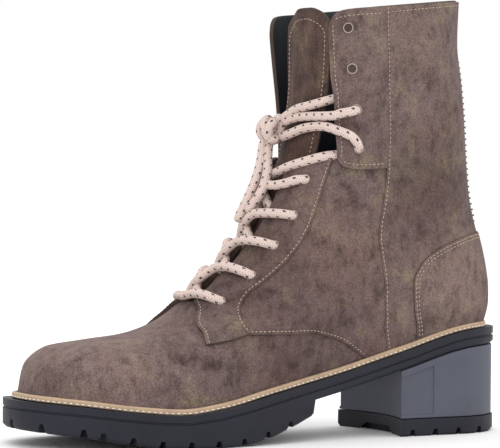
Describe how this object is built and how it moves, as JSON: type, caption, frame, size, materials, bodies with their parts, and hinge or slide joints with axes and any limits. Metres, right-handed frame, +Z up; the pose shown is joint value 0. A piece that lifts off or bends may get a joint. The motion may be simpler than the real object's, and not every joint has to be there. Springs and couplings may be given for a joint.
{
  "type": "lace-up ankle boot",
  "caption": "Lace-up ankle boot with a hollow suede upper, front eyelet flaps, a back zip and a lugged block-heel sole.",
  "frame": {"origin": "on the floor, under the middle of the sole's length and width", "axes": "+Z up, toe towards -X, outer side towards -Y, inner side towards +Y"},
  "size_m": [0.2758, 0.0993, 0.2294],
  "materials": {
    "suede": "brushed suede, mottled warm taupe",
    "lining": "dark smooth lining",
    "rubber": "matt moulded black",
    "welt": "natural stitched welt",
    "lace": "round braided cord, pinkish beige with dark flecks",
    "metal": "darkened brass, satin"
  },
  "bodies": {
    "boot": {"outsole": "rubber", "heel_block": "rubber", "heel_top_lift": "rubber", "welt": "welt", "insole": "lining", "upper": "suede", "tongue": "suede", "quarter_lateral": "suede", "eyestay_lateral": "suede", "quarter_medial": "suede", "eyestay_medial": "suede", "counter": "suede", "flap_lateral": "suede", "flap_medial": "suede", "zip_tape": "lining", "zip_teeth": "metal", "zip_slider": "metal", "eyelet_lateral_1": "metal", "eyelet_lateral_2": "metal", "eyelet_lateral_3": "metal", "eyelet_lateral_4": "metal", "eyelet_lateral_5": "metal", "eyelet_lateral_6": "metal", "eyelet_lateral_7": "metal", "eyelet_lateral_8": "metal", "eyelet_lateral_9": "metal", "eyelet_medial_1": "metal", "eyelet_medial_2": "metal", "eyelet_medial_3": "metal", "eyelet_medial_4": "metal", "eyelet_medial_5": "metal", "eyelet_medial_6": "metal", "eyelet_medial_7": "metal", "eyelet_medial_8": "metal", "eyelet_medial_9": "metal", "lace_crossing_1": "lace", "lace_crossing_2": "lace", "lace_crossing_3": "lace", "lace_crossing_4": "lace", "lace_base_bar": "lace", "lace_tongue_bar": "lace", "lace_strand_lower": "lace", "lace_strand_upper": "lace", "lace_strand_inner": "lace", "lace_knot": "lace", "lace_end_inner": "lace", "lace_end_outer": "lace"},
    "zip_pull": {"zip_pull": "metal"}
  },
  "joints": [
    {"name": "zip_pull_hinge", "type": "hinge", "parent": "boot", "child": "zip_pull", "pos_m": [0.11538, 0, 0.21959], "axis": [0, -1, 0], "range_deg": [0, 170]}
  ]
}
